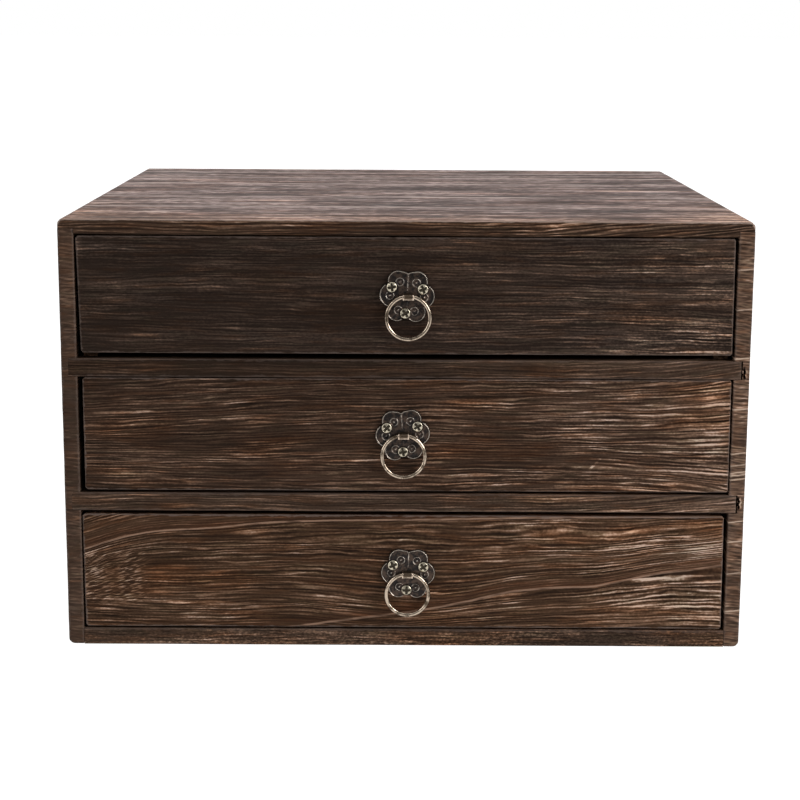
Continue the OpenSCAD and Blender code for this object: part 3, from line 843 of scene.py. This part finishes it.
FRONTS = {
    "upper": dict(mat=M_UPPER, seed=21, flow=flow_upper, veins=None,
                  tone_and_light=tone_and_light_from_right(-0.05, 0.22, [(157, 192, 8, 4, 0.26), (141, 182, 16, 5, 0.1), (128, 171, 34, 4, -0.09), (150, 158, 14, 8, 0.08), (-125, 156, 30, 4, 0.22), (-159, 201, 1.8, 6, 0.35)])),
    "middle": dict(mat=M_MIDDLE, seed=23, flow=flow_middle, veins=None,
                   tone_and_light=nicked(tone_and_light_from_right(-0.02, 0.24, [(-126, 112, 12, 2.2, 0.26), (-84, 116, 14, 2.2, 0.2), (55, 100, 42, 16, -0.07), (44, 122, 9, 1.8, 0.22), (150, 108, 16, 14, 0.14)]))),
    "lower": dict(mat=M_LOWER, seed=25, flow=flow_lower, veins=veins_lower,
                  # the last spot, a narrow strip along the right end, is a painted highlight
                  tone_and_light=tone_and_light_from_right(-0.02, 0.26, [(-117, 24, 16, 4, 0.18), (80, 44, 14, 3, 0.14), (55, 38, 45, 26, -0.04), (148, 50, 22, 8, 0.06), (159.5, 40, 1.8, 20, 0.22)])),
}

for k, (z0, h) in BAYS.items():
    gl1, gl0, gr1, gr0, gu, go = GAPS[k]
    f = FRONTS[k]
    body = f"{k}_drawer"
    zb = z0 + RAIL
    lo = (-INNER, FACE, z0 + gu)
    hi = (INNER, FACE + 9.4, z0 + h - go)
    za, zt = z0 + gu, z0 + h - go

    def slant(v, za=za, zt=zt, g=(gl1, gl0, gr1, gr0)):
        """the hand-fitted outline: each side edge leans a little"""
        t = (v[:, 2] - za) / (zt - za)
        left = -INNER + g[1] + (g[0] - g[1]) * t
        right = INNER - g[3] - (g[2] - g[3]) * t
        s = (v[:, 0] + INNER) / (2 * INNER)
        out = v.copy()
        # only the lips lean: the tongue behind them stays square with the box
        lean = np.where(np.abs(v[:, 0]) > BOX_X - BOX_T + 0.1, 1.0, 0.0)
        wide = left + s * (right - left)
        out[:, 0] = np.where(lean > 0, np.where(v[:, 0] < 0, v[:, 0] - -INNER + left, v[:, 0] - INNER + right), v[:, 0])
        out[:, 0] = np.where(lean > 0, out[:, 0], v[:, 0])
        return out

    groove = zb + 5.0
    board(
        f"{k}_drawer_front_wood", f"{k}_drawer_front", body, f["mat"],
        lo, hi, (4.0, 1.6, 0.62), f["seed"],
        ease=0.9,
        cuts=[
            ((-INNER - 1, FACE + 5.0, z0 - 1), (-(BOX_X - BOX_T), FACE + 12, z0 + h + 1)),
            ((BOX_X - BOX_T, FACE + 5.0, z0 - 1), (INNER + 1, FACE + 12, z0 + h + 1)),
            ((-BOX_X + BOX_T - 3.5, FACE + 9.4 - 3.55, groove - 0.05), (BOX_X - BOX_T + 3.5, FACE + 12, groove + 3.05)),
        ],
        big=[(-1, 1, 1.7), (-1, -1, 1.7), (1, 1, 1.3), (1, -1, 1.3)],
        flow=f["flow"], veins=f["veins"], tone_and_light=f["tone_and_light"], reshape=slant, ripple=ripple_lower if k == "lower" else None,
        marks=(NICK[0] + np.arange(-1.0, 6.0, 0.5), (), NICK[1] + np.arange(-1.0, 6.0, 0.5)) if k == "middle" else ((), (), ()),
        amp=0.16, wave=0.12,
    )
    for side, s in (("left", -1), ("right", 1)):
        a, b = sorted((s * BOX_X, s * (BOX_X - BOX_T)))
        c, d = sorted((s * (BOX_X - BOX_T - 1), s * (BOX_X - BOX_T + 3.55)))
        board(
            f"{k}_drawer_{side}_side_wood", f"{k}_drawer_{side}_side", body, M_BOX,
            (a, FACE + 5.0, zb), (b, BOX_BACK, zb + BOX_H), (1.75, 7.0, 1.7), 31 + s + int(z0) % 7,
            ease=0.5, keep="-y", axis="y",
            cuts=[((c, FACE + 9.4 - 3.55, groove - 0.05), (d, BOX_BACK - BOX_T + 3.55, groove + 3.05))],
            amp=0.08,
        )
    board(
        f"{k}_drawer_back_wood", f"{k}_drawer_back", body, M_BOX,
        (-BOX_X + BOX_T, BOX_BACK - BOX_T, zb), (BOX_X - BOX_T, BOX_BACK, zb + BOX_H), (7.0, 1.75, 1.7), 41 + int(z0) % 7,
        ease=0.5, keep="-x+x",
        cuts=[((-BOX_X, BOX_BACK - BOX_T - 1, groove - 0.05), (BOX_X, BOX_BACK - BOX_T + 3.55, groove + 3.05))],
        amp=0.08,
    )


# ------------------------------------------------------------------ pulls
LOBES = np.array([
    (-4.7, 7.3, 5.1), (4.7, 7.3, 5.1), (-7.4, 0.3, 6.1), (7.4, 0.3, 6.1),
    (-4.6, -7.6, 4.9), (4.6, -7.6, 4.9), (-2.6, 7.8, 4.25), (2.6, 7.8, 4.25), (0, -6.9, 4.6), (0, 0, 8),
])
CURLS = [(-3.8, 6.8), (4.2, 6.6), (-8.3, 0), (8.2, -0.3), (-4.1, -6.9), (3.9, -7.1)]
SCREWS = [(-7.6, 4.1), (7.5, 3.7), (-0.5, -8.4)]
PLATE_Y = 1.4
WIRE, RING, PIN_HALF, PIVOT_Z = 1.0, 10.5, 3.2, -0.4
PIN_DROP = math.sqrt(RING**2 - PIN_HALF**2)
BORE, STRAP = 1.03, 5.4
LOOP = BORE + 0.5
PIVOT_Y = PLATE_Y + LOOP + 0.12


def strip(rows, closed=True):
    """faces between rows of equal length"""
    n, m = rows
    i, j = np.meshgrid(np.arange(n - 1), np.arange(m if closed else m - 1), indexing="ij")
    k = (j + 1) % m
    return np.stack([i * m + j, i * m + k, (i + 1) * m + k, (i + 1) * m + j], -1).reshape(-1, 4)


def tilt(x, z, deg):
    a = math.radians(deg)
    return x * math.cos(a) + z * math.sin(a), -x * math.sin(a) + z * math.cos(a)


def plate(k, at, deg, ring_x):
    rays = 420
    rings = 84
    th = np.linspace(0, 2 * math.pi, rays, endpoint=False)
    dx, dz = np.cos(th), np.sin(th)
    along_ray = LOBES[:, 0, None] * dx + LOBES[:, 1, None] * dz
    off = LOBES[:, 0, None] * dz - LOBES[:, 1, None] * dx
    under = LOBES[:, 2, None] ** 2 - off**2
    reach = np.where(under > 0, along_ray + np.sqrt(np.maximum(under, 0)), 0).max(0)
    t = 1 - (1 - np.linspace(0.02, 1, rings)) ** 1.15
    r = t[:, None] * reach
    x, z = r * dx, r * dz

    def inset(x, z):
        return (LOBES[:, 2, None, None] - np.hypot(x - LOBES[:, 0, None, None], z - LOBES[:, 1, None, None])).max(0)

    m = np.maximum(inset(x, z), 0)
    face = PLATE_Y - 0.16 + 0.14 * step(m, 0.8, 3.5)
    rim = hump(m, 0.42, 0.3)
    rub = 0.75 * rim
    face = face + 0.5 * rim
    for cx, cz in CURLS:
        q = np.hypot(x - cx, z - cz)
        loop = hump(q, 1.9, 0.27)
        dot = hump(q, 0.0, 0.5)
        face = face + 0.36 * loop + 0.4 * dot - 0.12 * hump(q, 1.1, 0.4)
        rub = np.maximum(rub, np.maximum(0.62 * loop, 0.66 * dot))
    for z0, z1, s in ((2.6, 11.3, 0.6), (-5.2, -2.6, 0.45)):
        seam = hump(x, 0, 0.34) * step(z, z0 - 0.5, z0 + 0.5) * step(z, z1 + 0.4, z1 - 0.4)
        face = face + 0.34 * seam
        rub = np.maximum(rub, s * seam * (0.75 + 0.25 * step(z, 3, 9)))
    grid = np.stack([x.ravel(), z.ravel(), 0 * x.ravel()], 1)
    face = face + 0.05 * layers(grid / 1.6, 61, 2).reshape(x.shape)
    for cx, cz in SCREWS:
        q = np.hypot(x - cx, z - cz)
        face = np.where(q < 2.75, PLATE_Y - 0.06 - 0.1 * (q > 2.5), face)
        rub = np.where(q < 3.1, 0.0, rub)
    # slot of the hanger
    hx, hz = tilt(ring_x, PIVOT_Z, -deg)
    slot = step(np.abs(x - hx), 3.0, 2.7) * step(np.abs(z - hz), 1.0, 0.6)
    face = face - 0.7 * slot
    rub = rub * (1 - slot)
    roll = step(m, 0.0, 0.32)
    face = np.where(m < 0.32, 0.45 + (face - 0.45) * np.sqrt(np.clip(1 - (1 - np.clip(m / 0.32, 0, 1)) ** 2, 0, 1)), face)
    back = 0.6 * step(m, 0.95, 1.25)
    outer = np.stack([x, -face, z], -1)
    inner = np.stack([x, -back, z], -1)[::-1]
    hub = np.array([[[0, -float(face[0].mean()), 0]]])
    verts = np.concatenate([outer.reshape(-1, 3), inner.reshape(-1, 3), [[0, -float(face[0].mean()), 0]], [[0, -0.6, 0]]])
    n = 2 * rings * rays
    faces = [f for f in strip((2 * rings, rays))[:, ::-1].tolist()]
    for j in range(rays):
        faces.append([n, j, (j + 1) % rays])
        faces.append([n + 1, n - rays + (j + 1) % rays, n - rays + j])
    height = np.concatenate([rub.ravel(), np.zeros(rings * rays), [0.0, 0.0]])
    vx, vz = tilt(verts[:, 0], verts[:, 2], deg)
    verts = np.stack([vx + at[0], verts[:, 1] + at[1], vz + at[2]], 1)
    ob = new_mesh(f"{k}_pull_plate_metal", verts, faces, M_PLATE, sharp=60, data={"rub_and_highlight": height})
    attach(ob, f"{k}_drawer")
    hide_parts(f"{k}_pull_plate")


def lathe(profile, sides, axis):
    """closed solid of revolution; profile is (distance along, radius), from the middle of one end to the other"""
    p = np.array(profile, float)
    a = np.linspace(0, 2 * math.pi, sides, endpoint=False)
    c, s = np.cos(a), np.sin(a)
    h = np.repeat(p[:, 0], sides)
    rc, rs = np.outer(p[:, 1], c).ravel(), np.outer(p[:, 1], s).ravel()
    verts = {"x": np.stack([h, rc, rs], 1), "y": np.stack([rs, h, rc], 1)}[axis]
    return verts, strip((len(p), sides)).tolist()


def screws(k, at, deg):
    verts, faces, rub_and_highlight = [], [], []
    base = 0
    R0 = 2.6
    for (sx, sz), turn in zip(SCREWS, {"upper": (12, 24, 38), "middle": (44, 30, 8), "lower": (28, 40, 2)}[k]):
        rays, rings = 72, 26
        th = np.linspace(0, 2 * math.pi, rays, endpoint=False)
        r = np.linspace(0.03, 1, rings)[:, None] * R0
        x, z = r * np.cos(th), r * np.sin(th)
        y = PLATE_Y + 0.5 + np.sqrt(np.maximum(4.6**2 - r**2, 0)) - 4.6 + 0.8 + 0 * x
        y = np.minimum(y, PLATE_Y + 1.3)
        q = np.clip((R0 - r) / 0.3, 0, 1)
        y = PLATE_Y + 0.15 + (y - PLATE_Y - 0.15) * np.sqrt(1 - (1 - q) ** 2)
        a = math.radians(turn)
        u, w = x * math.cos(a) + z * math.sin(a), -x * math.sin(a) + z * math.cos(a)
        arm = np.maximum(
            step(np.abs(u), 2.15, 1.75) * step(np.abs(w), 0.75, 0.4),
            step(np.abs(w), 2.15, 1.75) * step(np.abs(u), 0.75, 0.4),
        )
        deep = arm * (0.45 + 0.45 * hump(np.hypot(x, z), 0, 0.9))
        y = y - deep
        top = np.stack([x, -y, z], -1).reshape(-1, 3)
        side = [(PLATE_Y - 0.05, R0), (PLATE_Y - 0.05, 1.0), (-6.0, 1.0), (-7.2, 0.2)]
        rest = np.concatenate([np.stack([rr * np.cos(th), np.full(rays, -hh), rr * np.sin(th)], 1) for hh, rr in side])
        v = np.concatenate([top, rest, [[0, float(top[:rays, 1].mean()), 0]], [[0, 7.2, 0]]])
        n = (rings + len(side)) * rays
        fs = (strip((rings + len(side), rays))[:, ::-1] + base).tolist()
        for j in range(rays):
            fs.append([base + n, base + j, base + (j + 1) % rays])
            fs.append([base + n + 1, base + n - rays + (j + 1) % rays, base + n - rays + j])
        # how pale each head is set: partly wear, partly a painted reflection, chosen per head
        shine = 0.75 if sz > 0 else 0.66
        rub = np.concatenate([(shine * (1 - step(arm, 0.1, 0.5)) * step((r + 0 * x), R0, R0 - 0.12) - 0.8 * step(arm, 0.3, 0.7)).ravel(), np.full(len(side) * rays, 0.1), [-0.8, 0.1]])
        vx, vz = tilt(v[:, 0] + sx, v[:, 2] + sz, deg)
        verts.append(np.stack([vx + at[0], v[:, 1] + at[1], vz + at[2]], 1))
        faces += fs
        rub_and_highlight.append(rub)
        base += len(v)
    ob = new_mesh(f"{k}_pull_screws_metal", np.concatenate(verts), faces, M_SCREW, sharp=50, data={"rub_and_highlight": np.concatenate(rub_and_highlight)})
    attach(ob, f"{k}_drawer")
    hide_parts(f"{k}_pull_screws")


def hanger(k, at, ring_x):
    # a strap folded round the pin, its two ends going back into the slot; both rims a little raised
    half = STRAP / 2
    m = 96
    th = np.linspace(0, 2 * math.pi, m, endpoint=False)
    phi = np.linspace(0, 2 * math.pi, 721)
    back_at = PIVOT_Y - 0.6
    reach = np.full(len(phi), LOOP)
    for cy_, cz_ in ((back_at, 2.15), (back_at, -0.9)):
        reach = np.maximum(reach, cy_ * np.cos(phi) + cz_ * np.sin(phi))
    c = np.cos(th[:, None] - phi[None])
    outline = np.where(c > 0.05, reach / np.maximum(c, 0.05), 99).min(1)
    turn = np.abs((th - math.radians(228) + math.pi) % (2 * math.pi) - math.pi)
    outline = outline + 0.2 * np.exp(-((turn / 0.16) ** 2))
    prof = [(0.05, 0.0, 0), (0.0, 0.1, 0), (0.0, 0.8, 0), (0.06, 0.94, 0), (0.2, 1.0, 0), (0.55, 0.98, 0), (0.8, 0.72, 0)]
    rows = [(-half + a, f) for a, f, _ in prof] + [(x, 0.68) for x in np.linspace(-half + 1.1, half - 1.1, 8)] + [(half - a, f) for a, f, _ in prof[::-1]]
    n = len(rows)
    verts = []
    for x, f in rows:
        r = BORE + 0.02 + (outline - BORE - 0.02) * 1.0 - (1 - f) * 0.48
        r = np.maximum(r, BORE + 0.02 + 0.0 * r) if f else np.full(m, BORE + 0.02)
        verts.append(np.stack([np.full(m, x), r * np.cos(th), r * np.sin(th)], 1))
    verts = np.concatenate(verts)
    faces = strip((n, m))[:, ::-1].tolist()
    faces += [[j, (j + 1) % m, (n - 1) * m + (j + 1) % m, (n - 1) * m + j] for j in range(m)]
    xs = np.repeat([x for x, f in rows], m)
    ang = np.tile(th, n)
    # the two rims are set bright: wear, and partly a painted highlight
    rub = np.where(np.abs(xs) > half - 0.7, 0.7, 0.08)
    # a painted highlight along the bottom of the fold
    low = np.abs((ang - math.radians(228) + math.pi) % (2 * math.pi) - math.pi)
    rub = rub + 0.7 * np.exp(-((low / 0.3) ** 2))
    base = len(verts)
    verts[:, 1] -= PIVOT_Y
    allv, allf, allr = [verts], faces, [rub]
    for lo, hi in (((-half + 0.1, -0.7, -0.5), (half - 0.1, -0.05, 0.5)), ((-half, -0.55, -3.5), (half, -0.05, 3.5))):
        lo, hi = np.array(lo), np.array(hi)
        lines = [places(lo[i], hi[i], 1.0, 0.12, 0.12, ()) for i in range(3)]
        v, f = skin(*lines, np.ones([len(c) - 1 for c in lines], bool))
        q = np.clip(v, lo + 0.12, hi - 0.12)
        d = v - q
        size = np.linalg.norm(d, axis=1)
        v = q + d * (np.abs(d).max(1) / np.where(size > 0, size, 1))[:, None]
        allv.append(v)
        allf = allf + (f + base).tolist()
        allr.append(np.full(len(v), 0.1))
        base += len(v)
    v = np.concatenate(allv)
    v = v + np.array([at[0] + ring_x, at[1], at[2] + PIVOT_Z])
    ob = new_mesh(f"{k}_pull_hanger_metal", v, allf, M_HANGER, sharp=50, data={"rub_and_highlight": np.concatenate(allr)})
    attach(ob, f"{k}_drawer")
    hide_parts(f"{k}_pull_hanger")


def ring(k, at, ring_x):
    """a wire hoop whose straight top turns in the hanger"""
    start = math.asin(PIN_HALF / RING)
    n = 132
    a = np.linspace(start, 2 * math.pi - start, n)
    path = np.stack([RING * np.sin(a), RING * np.cos(a) - PIN_DROP], 1)
    pin = np.stack([np.linspace(-PIN_HALF, PIN_HALF, 13)[1:-1], np.zeros(11)], 1)
    path = np.concatenate([path, pin])
    fat = np.concatenate([np.full(n, WIRE), np.full(11, WIRE - 0.05)])
    fat[:2] = fat[n - 2 : n] = (WIRE - 0.01)
    ahead = np.roll(path, -1, 0) - np.roll(path, 1, 0)
    ahead /= np.linalg.norm(ahead, axis=1)[:, None]
    out = np.stack([ahead[:, 1], -ahead[:, 0]], 1)
    m = 28
    b = np.linspace(0, 2 * math.pi, m, endpoint=False)
    rng = noise(np.stack([path[:, 0] / 3, path[:, 1] / 3, path[:, 0] * 0], 1), 71)
    fat = fat * (1 - 0.012 * (0.5 + 0.5 * rng))
    cx = fat[:, None] * np.cos(b)
    verts = np.stack([path[:, 0, None] + out[:, 0, None] * cx, fat[:, None] * np.sin(b), path[:, 1, None] + out[:, 1, None] * cx], -1).reshape(-1, 3)
    rows = len(path)
    faces = strip((rows, m)).tolist()
    faces += [[(rows - 1) * m + j, (rows - 1) * m + (j + 1) % m, (j + 1) % m, j] for j in range(m)]
    verts = verts + np.array([at[0] + ring_x, at[1] - PIVOT_Y, at[2] + PIVOT_Z])
    ob = new_mesh(f"{k}_pull_ring_metal", verts, faces, M_RING, sharp=60)
    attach(ob, f"{k}_ring")
    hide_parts(f"{k}_pull_ring")


for k, (px, pz, deg, rx) in PULLS.items():
    z0, h = BAYS[k]
    g = GAPS[k]
    at = (px, FACE, z0 + (g[4] + h - g[5]) / 2 + pz)
    plate(k, at, deg, rx)
    screws(k, at, deg)
    hanger(k, at, rx)
    ring(k, at, rx)

# nodes that are kept as they are: their shape is right, they get their materials
for name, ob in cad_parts.items():
    if ob.hide_render:
        continue
    mat = M_STEEL if name.endswith("brads") else M_PLY
    ob.data.materials.clear()
    ob.data.materials.append(mat)

# ------------------------------------------------------------------ floor, light, camera
sc = bpy.context.scene
g = Graph("floor_white")
shade = g.node("ShaderNodeBsdfPrincipled")
shade.inputs["Base Color"].default_value = (0.25, 0.25, 0.25, 1)
shade.inputs["Roughness"].default_value = 0.9
shade.inputs["Specular IOR Level"].default_value = 0.0
shade.inputs["Emission Color"].default_value = (1, 1, 1, 1)
where = g.split(g.node("ShaderNodeNewGeometry").outputs["Position"])
dim = g.between(where[1], -0.8, -0.34, 0.1, 0.95)
seen = g.node("ShaderNodeLightPath").outputs["Is Camera Ray"]
g.put(shade.inputs["Emission Strength"], g.m("MAXIMUM", dim, g.m("MULTIPLY", seen, 0.97)))
# seen from below it isn't there, so the underside shows
through = g.node("ShaderNodeMixShader")
g.put(through.inputs[0], g.node("ShaderNodeNewGeometry").outputs["Backfacing"])
g.tree.links.new(shade.outputs[0], through.inputs[1])
g.tree.links.new(g.node("ShaderNodeBsdfTransparent").outputs[0], through.inputs[2])
out = g.node("ShaderNodeOutputMaterial")
g.tree.links.new(through.outputs[0], out.inputs[0])
me = bpy.data.meshes.new("floor")
e = 60.0
me.from_pydata([(-e, -e, -0.0002), (e, -e, -0.0002), (e, e, -0.0002), (-e, e, -0.0002)], [], [(0, 1, 2, 3)])
me.materials.append(g.mat)
floor = bpy.data.objects.new("floor", me)
sc.collection.objects.link(floor)

world = bpy.data.worlds.new("studio")
sc.world = world
world.use_nodes = True
wt = world.node_tree
wt.nodes.clear()
tc = wt.nodes.new("ShaderNodeTexCoord")
sep = wt.nodes.new("ShaderNodeSeparateXYZ")
wt.links.new(tc.outputs["Generated"], sep.inputs[0])


def wmath(op, a, b=None, c=None):
    n = wt.nodes.new("ShaderNodeMath")
    n.operation = op
    for i, v in enumerate((a, b, c)):
        if v is None:
            continue
        if isinstance(v, bpy.types.NodeSocket):
            wt.links.new(v, n.inputs[i])
        else:
            n.inputs[i].default_value = v
    return n.outputs[0]


behind = wmath("MAXIMUM", sep.outputs[1], 0.0)
front = wmath("MAXIMUM", wmath("MULTIPLY", sep.outputs[1], -1.0), 0.0)
above = wmath("MAXIMUM", sep.outputs[2], 0.0)
beside = wmath("ABSOLUTE", sep.outputs[0])
glow = wmath("ADD", 0.03, wmath("MULTIPLY", behind, 0.95))
glow = wmath("ADD", glow, wmath("MULTIPLY", above, 0.5))
glow = wmath("ADD", glow, wmath("MULTIPLY", wmath("MULTIPLY", beside, beside), 0.4))
lp = wt.nodes.new("ShaderNodeLightPath")
strength = wmath("ADD", wmath("MULTIPLY", lp.outputs["Is Camera Ray"], wmath("SUBTRACT", 1.0, glow)), glow)
bg = wt.nodes.new("ShaderNodeBackground")
bg.inputs[0].default_value = (1, 1, 1, 1)
wt.links.new(strength, bg.inputs[1])
wo = wt.nodes.new("ShaderNodeOutputWorld")
wt.links.new(bg.outputs[0], wo.inputs[0])


def lamp(name, at, aim, size, power, size_y=None, color=(1, 1, 1)):
    li = bpy.data.lights.new(name, "AREA")
    li.shape = "RECTANGLE"
    li.size = size
    li.size_y = size_y or size
    li.energy = power
    li.color = color
    ob = bpy.data.objects.new(name, li)
    sc.collection.objects.link(ob)
    z = np.array(at, float) - np.array(aim, float)
    z /= np.linalg.norm(z)
    x = np.cross((0, 0, 1), z)
    x /= np.linalg.norm(x)
    y = np.cross(z, x)
    m = np.eye(4)
    m[:3, 0], m[:3, 1], m[:3, 2], m[:3, 3] = x, y, z, at
    ob.matrix_world = Matrix(m.tolist())
    return ob


lamp("key_right", (1.25, -0.85, 0.75), (0.05, -0.16, 0.1), 0.6, 20.0, 0.9)
lamp("top_soft", (0.0, 0.1, 1.6), (0, 0, 0.1), 1.4, 8.0)
lamp("fill_left", (-1.2, -0.75, 0.6), (0, -0.16, 0.1), 0.5, 5.0, 0.9)

YAW, PITCH, ROLL = (math.radians(a) for a in (0.0984, 11.2343, 0.3183))
cy, sy, cp, sp, cr, sr = math.cos(YAW), math.sin(YAW), math.cos(PITCH), math.sin(PITCH), math.cos(ROLL), math.sin(ROLL)
turn = (
    np.array([[cr, -sr, 0], [sr, cr, 0], [0, 0, 1]])
    @ np.array([[1, 0, 0], [0, cp, -sp], [0, sp, cp]])
    @ np.array([[1, 0, 0], [0, 0, -1], [0, 1, 0]])
    @ np.array([[cy, -sy, 0], [sy, cy, 0], [0, 0, 1]])
)
cam = bpy.data.objects.new("camera", bpy.data.cameras.new("camera"))
cam.data.lens = 84.61
cam.data.sensor_width = 36.0
cam.data.clip_start = 0.01
cam.data.clip_end = 50
sc.collection.objects.link(cam)
m = np.eye(4)
m[:3, 0], m[:3, 1], m[:3, 2] = turn[0], -turn[1], -turn[2]
m[:3, 3] = (-0.00420, -1.06416, 0.30457)
cam.matrix_world = Matrix(m.tolist())
sc.camera = cam
sc.view_settings.view_transform = "Standard"
